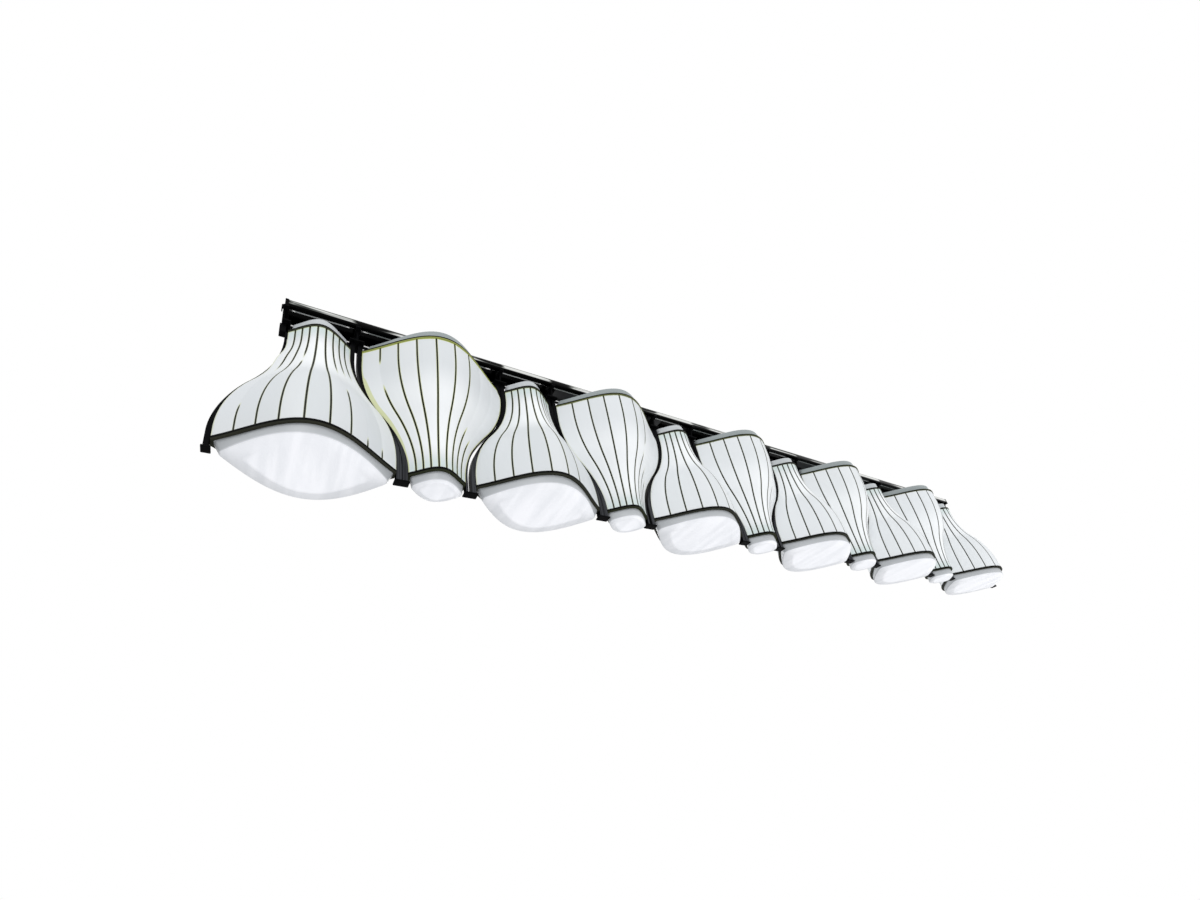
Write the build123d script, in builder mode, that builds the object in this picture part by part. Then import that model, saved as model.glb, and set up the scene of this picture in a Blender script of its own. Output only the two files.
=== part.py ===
from build123d import *
from math import cos, pi, sqrt
import os

# Linear pendant lamp: eleven pleated shades in a row under a slim rail.
# Millimetres, +Z up, X along the row, the viewer's side is -Y.
# The origin is the centre of the rail's top face, midway between its two suspension points.

# The row of shades: every second shade stands upside down, so that wide and narrow ends alternate
shade_count = 11
wide_cell = 245.0            # length of the row that a wide shade end takes
narrow_cell = 105.0          # length of the row that a narrow shade end takes
shade_height = 225.0         # top of the lower frame to top of the upper frame
skirt_straight = 8.0         # upright part of a side bar above the lower frame's top
neck_straight = 24.0         # upright part of a side bar below the upper frame's top

# The plan of a shade end, from its tips at the side bars to its middle
wide_depth = 79.0            # outer edge of a wide end at the middle, from the centre plane
tip_depth = 7.5              # the same at the tips
flank_mix = 0.25             # how hollow the flanks are: 0 is a plain cosine
pleat_count = 9              # flat pleats across one face

# Skins, frames and side bars
skin_depth = 2.0             # thickness of the translucent sheet, front to back
skin_setback = 1.5           # skin behind the frame's edge
strip_count = 5              # straight strips that follow the curve up a skin
frame_height = 5.0
frame_width = 7.0            # from the frame's edge to its light opening
bar_width = 6.5
bar_depth = 12.0
bar_gap = 4.0                # light gap between the side bars of two neighbours
bar_lag = 6.0                # its skin side keeps to the wide end this much longer: a slim waist
bar_head = 12.0              # side bar above the upper frame's top
bar_foot = 15.0              # side bar below the lower frame's top

# Opal diffusers: a bevelled lens below, a flat cover above
rim_setback = 3.0            # rim behind the frame's edge
lower_rim = 15.0             # height of the lower rim
upper_rim = 17.0
wide_draft = 6.0             # a wide rim's ends lean in by this much, away from the frame
narrow_draft = 2.0
wide_bevel = 10.0            # how far the lens stays inside the rim at the middle of a wide end
narrow_bevel = 5.0
bevel_drop = 2.5
end_cut = 4.0                # blunt ends of a rim, short of the frame's tips

# The rail
rail_height = 13.0
rail_width = 46.0
rail_wall = 1.5
rail_lip = 10.0
end_plate = 5.0
hook_reach = 4.0
hook_thickness = 1.5
hook_width = 8.0
hook_offset = 11.0           # hook in front of the centre plane
hook_top = 5.0               # hook below the rail's top

# Hangers between the rail and the side bars, and the feet that tie neighbours together
strap_width = 8.0            # upper flange along the row
strap_thickness = 3.0
web_thickness = 3.0
web_top_depth = 30.0
web_foot_depth = 22.0
hanger_drop = 17.0           # clear height between the two flanges
pad_depth = 27.0
pad_thickness = 3.0
pad_overhang = 2.5           # pads and feet reach past the bars by this much
foot_thickness = 3.0
foot_overhang = 1.0
bolt_flats = 7.0
bolt_head = 3.0

# Light source of each shade
carrier_depth = 7.0
carrier_height = 4.0
carrier_end_gap = 1.0
column_width = 12.0
column_depth = 8.0
column_stand = 16.0          # lower end of the column above the lower frame's top
board_width = 10.0
board_thickness = 1.5

# Power and suspension
driver_length = 260.0
driver_width = 30.0
driver_height = 8.0
driver_offset = 330.0        # centre of each driver from the middle of the rail
terminal_length = 40.0
terminal_width = 18.0
terminal_height = 8.5
suspension_spacing = 1400.0
thread_core = 2.5            # radius of the M6 thread's core
insert_radius = 4.5          # of the hexagonal body, to its corners
insert_flange_radius = 7.0
insert_flange = 1.5
insert_length = 8.0
gland_offset = 60.0
gland_bore = 3.5             # radius
gland_body = 7.0             # radius, to the corners
gland_nut = 9.0              # radius, to the corners
gland_above = 9.0
gland_below = 7.0

clearance = 0.3              # between fitted faces of different pieces

# Levels, from the rail's top face downwards
rail_bottom = -rail_height
strap_bottom = rail_bottom - strap_thickness
pad_top = strap_bottom - hanger_drop
bar_top = pad_top - pad_thickness
upper_frame_top = bar_top - bar_head
upper_frame_bottom = upper_frame_top - frame_height
lower_frame_top = upper_frame_top - shade_height
lower_frame_bottom = lower_frame_top - frame_height
bar_bottom = lower_frame_top - bar_foot
lean_start = lower_frame_top + skirt_straight
lean_end = upper_frame_top - neck_straight

row_length = (shade_count + 1) // 2 * wide_cell + shade_count // 2 * narrow_cell
travel = (wide_cell - narrow_cell) / 2
bar_near = bar_gap / 2
bar_far = bar_near + bar_width
wide_span = wide_cell / 2 - bar_far
narrow_span = narrow_cell / 2 - bar_far


def lean(z):
    """Share of a side bar's travel along the row at height z, on its two equal arcs: 0 low down, 1 high up."""
    rise = lean_end - lean_start
    radius = (rise**2 + travel**2) / (4 * travel)
    climb = min(max(z - lean_start, 0), rise)
    from_end = min(climb, rise - climb)
    moved = (radius - sqrt(radius**2 - from_end**2)) / travel
    return moved if climb < rise / 2 else 1 - moved


def joint_low(j):
    """X of the joint between two shades at the lower frames."""
    return -row_length / 2 + (j + 1) // 2 * wide_cell + j // 2 * narrow_cell


def joint_high(j):
    """X of the same joint at the upper frames."""
    return -row_length / 2 + travel + (j + 1) // 2 * narrow_cell + j // 2 * wide_cell


def joint_x(j, z):
    return joint_low(j) + lean(z) * (joint_high(j) - joint_low(j))


def centre_x(i):
    return (joint_low(i) + joint_low(i + 1)) / 2


def is_bell(i):
    """True for the shades that stand with their wide end down."""
    return i % 2 == 0


def skin_shift(i):
    """How much higher a side bar of shade i leans on its skin side than on its gap side."""
    return bar_lag if is_bell(i) else -bar_lag


def half_span(i, z):
    """Distance from the middle of shade i to its side bars at height z."""
    leant = lean(z - skin_shift(i))
    share = 1 - leant if is_bell(i) else leant
    return narrow_span + share * (wide_span - narrow_span)


def edge_depth(u):
    """Distance of a wide end's edge from the centre plane, u from -1 to 1 between the tips."""
    wave = cos(pi / 2 * u)
    return tip_depth + (wide_depth - tip_depth) * ((1 - flank_mix) * wave + flank_mix * wave**2)


def pleat_corners():
    """Corners of the pleats at a wide end, from its tip depth outwards, evenly spaced along the edge's curve."""
    shares = [-1, -0.75, -0.4, 0, 0.4, 0.75, 1]
    curve = Spline(*[(u * wide_span, edge_depth(u) - tip_depth) for u in shares])
    step = curve.length / pleat_count
    return [curve.position_at(k * step, PositionMode.LENGTH) for k in range(pleat_count + 1)]


corners = pleat_corners()


def face_points(span, inset):
    """Pleat corners of one face, scaled to a half span and set in from the edge."""
    scale = span / wide_span
    return [(corner.X * scale, tip_depth - inset + corner.Y * scale) for corner in corners]


def end_points(i, span, inset):
    """Closed plan of an end of shade i: its rear and front edges, joined by blunt tips."""
    rear = face_points(span, inset)
    front = [(x, -y) for x, y in reversed(rear)]
    return [(centre_x(i) + x, y) for x, y in rear + front]


def plan_face(points, z):
    """Flat face at height z with the given corners."""
    with BuildSketch(Plane.XY.offset(z)) as plan:
        with BuildLine():
            Polyline(*points, close=True)
        make_face()
    return plan.sketch


def flat_sided(plans, levels):
    """Solid with flat faces between plans of as many corners each, one above another."""
    rings = [[Vector(x, y, z) for x, y in plan] for plan, z in zip(plans, levels)]
    sides = [
        [low[k - 1], low[k], high[k], high[k - 1]]
        for low, high in zip(rings, rings[1:])
        for k in range(len(low))
    ]
    return Solid(Shell([Face(Wire.make_polygon(ring)) for ring in [rings[0], rings[-1]] + sides]))


def save(builder, label):
    builder.part.label = label
    export_step(builder.part, f"parts/{label}.step")


os.makedirs("parts", exist_ok=True)
shades = range(shade_count)
joints = range(shade_count + 1)
groups = (("bell", [i for i in shades if is_bell(i)]), ("inverted", [i for i in shades if not is_bell(i)]))

# Rail: a slim channel, open below between its two lips
rail_start = joint_high(0) + end_plate
rail_length = joint_high(shade_count) - joint_high(0) - 2 * end_plate
with BuildPart() as top_rail:
    with BuildSketch(Plane.YZ.offset(rail_start)):
        with Locations((0, -rail_height / 2)):
            Rectangle(rail_width, rail_height)
            Rectangle(rail_width - 2 * rail_wall, rail_height - 2 * rail_wall, mode=Mode.SUBTRACT)
        with Locations((0, -rail_height + rail_wall / 2)):
            Rectangle(rail_width - 2 * rail_lip, rail_wall, mode=Mode.SUBTRACT)
    extrude(amount=rail_length)
    with BuildSketch():
        with GridLocations(suspension_spacing, 0, 2, 1):
            RegularPolygon(insert_radius + clearance, 6)
        with Locations((gland_offset, 0)):
            RegularPolygon(gland_body + clearance, 6)
    extrude(amount=-rail_wall, mode=Mode.SUBTRACT)
save(top_rail, "top_rail")

# End plates: each closes the rail, and the left one carries a small hook
for label, start in (("end_plate_left", joint_high(0)), ("end_plate_right", rail_start + rail_length)):
    with BuildPart() as plate:
        with BuildSketch(Plane.YZ.offset(start)):
            with Locations((0, -rail_height / 2)):
                Rectangle(rail_width, rail_height)
        extrude(amount=end_plate)
        if label == "end_plate_left":
            with BuildSketch(Plane.XZ.offset(hook_offset - hook_width / 2)):
                with BuildLine():
                    arm = Line((start, -hook_top), (start - hook_reach / 2, -hook_top))
                    bend = TangentArc(arm @ 1, (start - hook_reach, -hook_top - hook_reach / 2), tangent=(-1, 0))
                    Line(bend @ 1, (start - hook_reach, -rail_height))
                    offset(amount=hook_thickness, side=Side.LEFT)
                make_face()
            extrude(amount=hook_width)
    save(plate, label)

# Hangers: an upper flange under the rail, a tapered web and a pad on two side bars
with BuildPart() as hangers:
    for j in joints:
        strap_shift = (j == 0) - (j == shade_count)
        with BuildSketch(Plane.XY.offset(rail_bottom)):
            with Locations((joint_high(j) + strap_shift * (strap_width - web_thickness) / 2, 0)):
                Rectangle(strap_width, rail_width)
        extrude(amount=-strap_thickness)
        with BuildSketch(Plane.YZ.offset(joint_high(j) - web_thickness / 2)):
            with BuildLine():
                top = web_top_depth / 2
                foot = web_foot_depth / 2
                Polyline((-top, strap_bottom), (top, strap_bottom), (foot, pad_top), (-foot, pad_top), close=True)
            make_face()
        extrude(amount=web_thickness)
        left = -web_thickness / 2 if j == 0 else -bar_far - pad_overhang
        right = web_thickness / 2 if j == shade_count else bar_far + pad_overhang
        with BuildSketch(Plane.XY.offset(pad_top)):
            with Locations((joint_high(j) + (left + right) / 2, 0)):
                Rectangle(right - left, pad_depth)
        extrude(amount=-pad_thickness)
save(hangers, "rail_hangers")

# Every side bar as its joint, 0 to 11, and the side of that joint on which it stands
bar_middle = bar_near + bar_width / 2
bar_places = [(j, side) for j in joints for side in (-1, 1) if 0 <= j + (side - 1) / 2 < shade_count]

# Bolts through the pads into the heads of the side bars
with BuildPart() as pad_bolts:
    with BuildSketch(Plane.XY.offset(pad_top)):
        with Locations(*[(joint_high(j) + side * bar_middle, 0) for j, side in bar_places]):
            RegularPolygon(bolt_flats / 2, 6, major_radius=False, rotation=30)
    extrude(amount=bolt_head)
save(pad_bolts, "pad_bolts")

# Feet: each ties the lower ends of two neighbouring side bars
with BuildPart() as feet:
    for j in joints:
        left = 0 if j == 0 else -bar_far - pad_overhang
        right = 0 if j == shade_count else bar_far + pad_overhang
        with BuildSketch(Plane.XY.offset(bar_bottom)):
            with Locations((joint_low(j) + (left + right) / 2, 0)):
                Rectangle(right - left, bar_depth + 2 * foot_overhang)
        extrude(amount=-foot_thickness)
save(feet, "joint_feet")


# Side bars: one pair to a shade, each an S that leans between the wide and the narrow end
def bar_outline(i, side):
    """Front view of the right bar, side 1, or the left bar, side -1, of shade i."""
    j = i + (side + 1) // 2
    levels = (lean_start, (lean_start + lean_end) / 2, lean_end)
    with BuildSketch(Plane.XZ.offset(-bar_depth / 2)) as outline:
        with BuildLine():
            for reach, shift in ((bar_near, 0), (bar_far, skin_shift(i))):
                low, centre, high = [(joint_x(j, z) - side * reach, z + shift) for z in levels]
                Line((low[0], bar_bottom), low)
                TangentArc(low, centre, tangent=(0, 1))
                TangentArc(high, centre, tangent=(0, -1))
                Line(high, (high[0], bar_top))
            foot = joint_low(j) - side * bar_near
            head = joint_high(j) - side * bar_near
            Line((foot, bar_bottom), (foot - side * bar_width, bar_bottom))
            Line((head, bar_top), (head - side * bar_width, bar_top))
        make_face()
    return outline.sketch


for kind, members in groups:
    with BuildPart() as side_bars:
        for i in members:
            extrude(bar_outline(i, -1), amount=bar_depth)
            extrude(bar_outline(i, 1), amount=bar_depth)
    save(side_bars, f"{kind}_side_bars")

# Skins: pleated translucent sheets, a front and a rear one to a shade, standing between its two frames.
# Every pleat keeps its direction all the way up, so that each strip of it is flat.
strip_rise = (upper_frame_bottom - lower_frame_top) / strip_count
strip_levels = [lower_frame_top + k * strip_rise for k in range(strip_count + 1)]


def strip_bulge(i, low, high):
    """How far a straight strip of shade i between two levels reaches past the side bars' curve."""
    return (half_span(i, low) + half_span(i, high)) / 2 - half_span(i, (low + high) / 2)


skin_side_gap = clearance + max(
    strip_bulge(i, low, high) for i in (0, 1) for low, high in zip(strip_levels, strip_levels[1:])
)


def skin_points(i, z, side):
    """Cross-section of a skin at height z: a strip of flat pleats, closed by its inner face."""
    outer = face_points(half_span(i, z) - skin_side_gap, skin_setback)
    inner = [(x, y - skin_depth) for x, y in reversed(outer)]
    return [(centre_x(i) + x, side * y) for x, y in outer + inner]


for i in shades:
    for face, side in (("front", -1), ("rear", 1)):
        with BuildPart() as skin:
            add(flat_sided([skin_points(i, z, side) for z in strip_levels], strip_levels))
        save(skin, f"{face}_skin_{i + 1:02d}")


# Frames: flat plates with a light opening, whose edges are the dark trims above and below the skins
def opening_points(i, span):
    """Eight-sided opening through a frame of shade i."""
    scale = span / wide_span
    rear = [(corners[k].X * scale, tip_depth - frame_width + corners[k].Y * scale) for k in (1, 3, 6, 8)]
    front = [(x, -y) for x, y in reversed(rear)]
    return [(centre_x(i) + x, y) for x, y in rear + front]


for kind, members in groups:
    for end, top in (("lower", lower_frame_top), ("upper", upper_frame_top)):
        with BuildPart() as frames:
            for i in members:
                span = half_span(i, top)
                extrude(plan_face(end_points(i, span, 0), top), amount=-frame_height)
                extrude(plan_face(opening_points(i, span), top), amount=-frame_height, mode=Mode.SUBTRACT)
        save(frames, f"{kind}_{end}_frames")

# Diffusers: opal dishes on the frames, the lower ones with a bevelled lens
lens_top = lower_frame_bottom - lower_rim
for kind, members in groups:
    with BuildPart() as lower_diffusers:
        for i in members:
            rim_span = half_span(i, lower_frame_top) - end_cut
            bevel = wide_bevel if is_bell(i) else narrow_bevel
            lens_span = rim_span - (wide_draft if is_bell(i) else narrow_draft)
            rim_depth = tip_depth - rim_setback + (wide_depth - tip_depth) * lens_span / wide_span
            rim = end_points(i, rim_span, rim_setback)
            lens_rim = end_points(i, lens_span, rim_setback)
            lens = [
                (centre_x(i) + (x - centre_x(i)) * (1 - bevel / rim_depth), y * (1 - bevel / rim_depth))
                for x, y in lens_rim
            ]
            add(flat_sided([lens, lens_rim, rim], [lens_top - bevel_drop, lens_top, lower_frame_bottom]))
    save(lower_diffusers, f"{kind}_lower_diffusers")
    with BuildPart() as upper_diffusers:
        for i in members:
            rim_span = half_span(i, upper_frame_top) - end_cut
            roof_span = rim_span - (narrow_draft if is_bell(i) else wide_draft)
            plans = [end_points(i, span, rim_setback) for span in (rim_span, roof_span)]
            add(flat_sided(plans, [upper_frame_top, upper_frame_top + upper_rim]))
    save(upper_diffusers, f"{kind}_upper_diffusers")

# Light sources: a carrier under the upper frame, a column that hangs from it and a board on either side
carrier_bottom = upper_frame_bottom - carrier_height
column_bottom = lower_frame_top + column_stand
column_height = carrier_bottom - column_bottom
with BuildPart() as carriers:
    for i in shades:
        with BuildSketch(Plane.XY.offset(upper_frame_bottom)):
            with Locations((centre_x(i), 0)):
                Rectangle(2 * (half_span(i, upper_frame_top) - carrier_end_gap), carrier_depth)
        extrude(amount=-carrier_height)
save(carriers, "lamp_carriers")

for i in shades:
    with BuildPart() as column:
        with BuildSketch(Plane.XY.offset(column_bottom)):
            with Locations((centre_x(i), 0)):
                Rectangle(column_width, column_depth)
        extrude(amount=column_height)
    save(column, f"lamp_column_{i + 1:02d}")

with BuildPart() as boards:
    with BuildSketch(Plane.XY.offset(column_bottom)):
        for side in (-1, 1):
            with Locations(*[(centre_x(i), side * (column_depth + board_thickness) / 2) for i in shades]):
                Rectangle(board_width, board_thickness)
    extrude(amount=column_height)
save(boards, "led_boards")

# Power: two drivers and a terminal block under the rail's top wall
for label, middle, length, width, height in (
    ("driver_left", -driver_offset, driver_length, driver_width, driver_height),
    ("driver_right", driver_offset, driver_length, driver_width, driver_height),
    ("terminal_block", 0, terminal_length, terminal_width, terminal_height),
):
    with BuildPart() as unit:
        with BuildSketch(Plane.XY.offset(-rail_wall)):
            with Locations((middle, 0)):
                Rectangle(length, width)
        extrude(amount=-height)
    save(unit, label)

# Threaded inserts that the suspension screws into
with BuildPart() as inserts:
    with BuildSketch():
        with GridLocations(suspension_spacing, 0, 2, 1):
            RegularPolygon(insert_flange_radius, 6)
    extrude(amount=insert_flange)
    with BuildSketch():
        with GridLocations(suspension_spacing, 0, 2, 1):
            RegularPolygon(insert_radius, 6)
    extrude(amount=-insert_length)
    with GridLocations(suspension_spacing, 0, 2, 1):
        Hole(thread_core)
save(inserts, "suspension_inserts")

# Cable gland in the rail's top wall
with BuildPart() as gland:
    with BuildSketch():
        with Locations((gland_offset, 0)):
            RegularPolygon(gland_nut, 6)
    extrude(amount=gland_above)
    with BuildSketch():
        with Locations((gland_offset, 0)):
            RegularPolygon(gland_body, 6)
    extrude(amount=-gland_below)
    with Locations((gland_offset, 0)):
        Hole(gland_bore)
save(gland, "cable_gland")
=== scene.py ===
import math

import bmesh
import bpy
import numpy as np
from mathutils import Matrix, Vector


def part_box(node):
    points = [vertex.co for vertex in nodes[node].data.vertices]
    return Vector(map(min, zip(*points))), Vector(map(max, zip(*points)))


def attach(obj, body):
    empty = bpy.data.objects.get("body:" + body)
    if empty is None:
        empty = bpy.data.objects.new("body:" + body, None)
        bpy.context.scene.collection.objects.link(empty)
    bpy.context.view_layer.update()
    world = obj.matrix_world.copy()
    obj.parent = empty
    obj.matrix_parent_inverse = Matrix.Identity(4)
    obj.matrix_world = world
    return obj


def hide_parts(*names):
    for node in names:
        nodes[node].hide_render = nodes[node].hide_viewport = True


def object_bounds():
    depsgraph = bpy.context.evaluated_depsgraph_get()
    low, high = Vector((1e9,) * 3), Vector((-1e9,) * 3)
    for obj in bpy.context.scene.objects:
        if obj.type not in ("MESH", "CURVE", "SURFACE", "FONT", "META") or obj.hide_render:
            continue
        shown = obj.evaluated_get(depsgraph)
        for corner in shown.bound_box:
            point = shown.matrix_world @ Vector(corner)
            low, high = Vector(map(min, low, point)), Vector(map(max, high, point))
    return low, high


# Linear pendant lamp: eleven pleated shades under a slim rail.
# Metres, +Z up, X along the row, the viewer's side is -Y, as in the frame.

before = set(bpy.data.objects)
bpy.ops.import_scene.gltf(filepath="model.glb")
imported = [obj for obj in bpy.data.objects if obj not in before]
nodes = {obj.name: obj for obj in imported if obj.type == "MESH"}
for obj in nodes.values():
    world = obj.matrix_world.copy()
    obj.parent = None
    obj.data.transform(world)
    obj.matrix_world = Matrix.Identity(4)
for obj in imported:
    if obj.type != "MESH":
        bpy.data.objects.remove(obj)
cad_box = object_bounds()
scene = bpy.context.scene

# The photograph's viewpoint
CAMERA_PLACE = (-0.9170, -0.6643, -0.7954)
CAMERA_AZIMUTH = 33.35       # degrees from +Y towards +X
CAMERA_ELEVATION = 27.11
CAMERA_ROLL = -9.615
CAMERA_LENS = 16.59
CAMERA_SHIFT = (0.0220, 0.0940)


def add_camera():
    """Camera from its place, direction and roll: right, up and backward axes are a rotation's columns."""
    azimuth, elevation, roll = (math.radians(a) for a in (CAMERA_AZIMUTH, CAMERA_ELEVATION, CAMERA_ROLL))
    level_reach = math.cos(elevation)
    ahead = Vector((math.sin(azimuth) * level_reach, math.cos(azimuth) * level_reach, math.sin(elevation)))
    level = ahead.cross(Vector((0, 0, 1))).normalized()
    above = level.cross(ahead)
    right = level * math.cos(roll) + above * math.sin(roll)
    up = above * math.cos(roll) - level * math.sin(roll)
    data = bpy.data.cameras.new("camera")
    data.lens = CAMERA_LENS
    data.shift_x, data.shift_y = CAMERA_SHIFT
    data.clip_start = 0.01
    data.clip_end = 100
    camera = bpy.data.objects.new("camera", data)
    camera.matrix_world = Matrix.Translation(CAMERA_PLACE) @ Matrix((right, up, -ahead)).transposed().to_4x4()
    scene.collection.objects.link(camera)
    scene.camera = camera


add_camera()

# The row of shades
SHADE_COUNT = 11
WIDE_CELL = 0.245            # length of the row that a wide shade end takes
NARROW_CELL = 0.105
SKIRT = 0.008                # upright part of a side bar above the lower frame's top
NECK = 0.024                 # the same below the upper frame's top
BAR_LAG = 0.006              # its skin side keeps to the wide end this much longer: a slim waist

# The plan of a shade end, from its tips at the side bars to its middle
TIP_DEPTH = 0.0075
WIDE_DEPTH = 0.079
FLANK_MIX = 0.25             # how hollow the flanks are: 0 is a plain cosine
END_POINTS = 64
PLEATS = 9

# Side bars, frames and diffusers
BAR_NEAR = 0.002             # half of the light gap between two neighbours
BAR_CLOSED = 0.0003          # the same where they all but touch: low down or high up, by turns
GAP_SWAY = {1: 0.0025, -1: 0.0015}  # how far the gap's left and right edge move left, low down at even joints
BAR_WIDTH = 0.0065
BAR_DEPTH = 0.012
BAR_ROWS = 60
END_BAR_SHARE = 0.45         # width left at the head of the row's two outermost bars
BAR_HEAD = 0.012             # side bar above the upper frame's top
BAR_FOOT = 0.015
FRAME_HEIGHT = 0.005
FRAME_WIDTH = 0.007
LOWER_LIT = (0.95, 0.80)     # depths where a lower frame turns from lit to black, as shares of its height
UPPER_LIT = (0.65, 0.50)
RIM_SETBACK = 0.003          # diffuser rim behind the frame's edge
END_CUT = 0.004              # blunt ends of a rim, short of the frame's tips
END_ROUND = 0.002            # length of their rounding
END_BLUNT = 0.5              # how much of their square it takes away
LENS_MIX = -0.10             # a lens has fuller flanks than its frame
DISH_WALL = 0.002
WIDE_DRAFT = 0.007           # a wide rim's ends lean in by this much, away from the frame
NARROW_DRAFT = 0.002
WIDE_BEVEL = 0.010
NARROW_BEVEL = 0.005
BEVEL_DROP = 0.0025
LENS_SHADE = 0.023           # width of the lens's border, painted dimmer along its rear edge as shade
LENS_SHADE_EDGE = 0.8        # share of that width over which it is dim
LENS_CORNER = 0.0018         # radius between bevel and rim
COVER_CORNER = 0.0015
CORNER_POINTS = 5
REAR_TURN = (-0.35, 0.15)    # shares of the wide depth between which a lens goes from its front to its rear
# Painted light and shade of a lower dish's outer rings at their front and rear, from the lens's middle to the
# rim's top
FRONT_PAINTED_LIGHT = (1, 1, 1, 0.97, 0.8, 0.5, 0.3, 0.1)
REAR_PAINTED_LIGHT = (1, 0.68, 0.64, 0.55, 0.38, 0.1, 0, 0)
COVER_PAINTED_LIGHT = 0.3            # painted light on a bell's narrow cover; an inverted shade's cover keeps its grey painted shade

# Heights above the lower frame's top between which a side bar changes
GAP_TURN = (0.13, 0.07)      # from its gap's width high up to that low down
SWAY_TURN = (0.085, 0.045)
SLIM_TURN = (0.01, 0.10)     # an outermost bar, from its full width to its slim head
# from the painted sheen low down to its faint rest higher up
SHEEN_TURN = (0.09, 0.04)
LEAST_SHEEN = 0.03

# Skins
SKIN_DEPTH = 0.0006
SKIN_SETBACK = 0.0008        # skin behind the frame's edge
SKIN_LAP = 0.0040            # most that a skin's edge reaches over its side bar, halfway up
COVERED_SHORT = 0.0025       # where the skin covers most of its bar, it ends this far before the joint
COVERED_TURN = (0.25, 0.48)  # shares of the climb between which it comes to cover the bar
HEAD_TURN = 0.025            # from here below the upper frame's top it draws back again
HEAD_DRAW = 0.7              # by this share
SKIN_SIDE_GAP = 0.0004
SKIN_TUCK = 0.0004           # skins reach this far into the frames' plates
SEAM_HALF = 0.0023           # from a seam's middle to the end of its fringe
SEAM_GROOVE = 0.0005
SKIN_ROWS = 72
PLEAT_COLUMNS = (0.35, 0.5, 0.65)  # between the columns that fringe a pleat's seams
FACET = 0.35                 # how flat each pleat is
WIDE_HEM = 0.0052            # painted yellow light along the hem that faces the row's bright end, on the second shade
WIDE_HEM_ENDS = 0.2          # share of its width at its upper and lower end
SIDE_HEM = 0.0012
HEM_FADE = 1.3               # widths of a side hem from the edge to where it is gone
TOP_HEM = 0.0035
GLOW_START = (0.04, 0.20)    # where the light comes up, as shares of the way from the narrow to the wide end
GLOW_END = ((0.56, 0.36), (0.80, 0.50))  # and where it fades, on bells and on inverted shades
GLOW_SPREAD = 0.85           # how much of a quarter wave it falls from the middle to the sides
PLEAT_PHASE = 2.4            # steps of the wave that sets the painted shade of each pleat
SHADE_PHASE = 1.7

# Rail, hangers, feet, bolts and boards
RAIL_WIDTH = 0.046
RAIL_WALL = 0.0015
RAIL_LIP = 0.010
LIP_HIGHLIGHT = 0.0020            # painted highlight along each lip's edge
LIP_HIGHLIGHT_EDGE = 1.1          # times its width, where it has faded
RAIL_CORNER = 0.0018         # radius of the sheet's middle at the rail's corners
RAIL_FOOT_TURN = (-0.0100, -0.0085)  # heights on its sides from the painted dark foot to the painted streaks
RAIL_TOP_TURN = (-0.0032, -0.0024)   # and from these to the painted dark line at the top
STRAP_WIDTH = 0.008
STRAP_THICKNESS = 0.003
WEB_THICKNESS = 0.003
WEB_TOP_DEPTH = 0.030
WEB_FOOT_DEPTH = 0.022
PAD_DEPTH = 0.027
PAD_THICKNESS = 0.003
PAD_OVERHANG = 0.0025
FOOT_OVERHANG = 0.001
END_HEAD_REACH = 0.0035      # head block of an outermost bar, past the joint
BOLT_FLATS = 0.007
BOLT_CHAMFER = 0.12          # share of the head's radius
BOLT_SHOULDER = 0.75         # share of the head's height below its chamfer
CHIP_PITCH = 0.024           # light chips up a board
CHIP_LENGTH = 0.005
EASE = 0.0005                # eased edges of the metal parts
SHARP = math.radians(28)     # faces that meet at more than this keep a crisp edge

# Levels and lengths from the frame
ROW_START = cad_box[0][0]
UPPER_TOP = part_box("bell_upper_frames")[1][2]
LOWER_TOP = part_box("bell_lower_frames")[1][2]
LENS_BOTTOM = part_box("bell_lower_diffusers")[0][2]
COVER_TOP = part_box("bell_upper_diffusers")[1][2]
RAIL_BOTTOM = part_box("top_rail")[0][2]
PAD_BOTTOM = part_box("rail_hangers")[0][2]
FOOT_BOTTOM, FOOT_TOP = (corner[2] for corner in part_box("joint_feet"))

LEAN_START = LOWER_TOP + SKIRT
LEAN_END = UPPER_TOP - NECK
TRAVEL = (WIDE_CELL - NARROW_CELL) / 2
BAR_FAR = BAR_NEAR + BAR_WIDTH
WIDE_SPAN = WIDE_CELL / 2 - BAR_FAR
NARROW_SPAN = NARROW_CELL / 2 - BAR_FAR
JOINTS = range(SHADE_COUNT + 1)
BELLS = [i for i in range(SHADE_COUNT) if i % 2 == 0]
INVERTED = [i for i in range(SHADE_COUNT) if i % 2 == 1]


# The lamp's lines

def lean(z):
    """Share of a side bar's travel at height z: an S of two equal arcs, 0 low down and 1 high up."""
    rise = LEAN_END - LEAN_START
    radius = (rise**2 + TRAVEL**2) / (4 * TRAVEL)
    climb = np.clip(z - LEAN_START, 0, rise)
    from_end = np.minimum(climb, rise - climb)
    moved = (radius - np.sqrt(radius**2 - from_end**2)) / TRAVEL
    return np.where(climb < rise / 2, moved, 1 - moved)


def joint_x(j, z):
    """X of joint j at height z, between its places at the lower and at the upper frames."""
    low = ROW_START + (j + 1) // 2 * WIDE_CELL + j // 2 * NARROW_CELL
    high = ROW_START + TRAVEL + (j + 1) // 2 * NARROW_CELL + j // 2 * WIDE_CELL
    return low + lean(z) * (high - low)


def centre_x(i):
    """X of the axis of shade i, halfway between its two joints."""
    return float(joint_x(i, LOWER_TOP) + joint_x(i + 1, LOWER_TOP)) / 2


def skin_shift(i):
    """How much higher a side bar of shade i leans on its skin side than on its gap side."""
    return BAR_LAG if i in BELLS else -BAR_LAG


def half_span(i, z):
    """Half of shade i's length along the row at height z: wide low on a bell, high up on an inverted one."""
    leant = lean(z - skin_shift(i))
    share = 1 - leant if i in BELLS else leant
    return NARROW_SPAN + share * (WIDE_SPAN - NARROW_SPAN)


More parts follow.
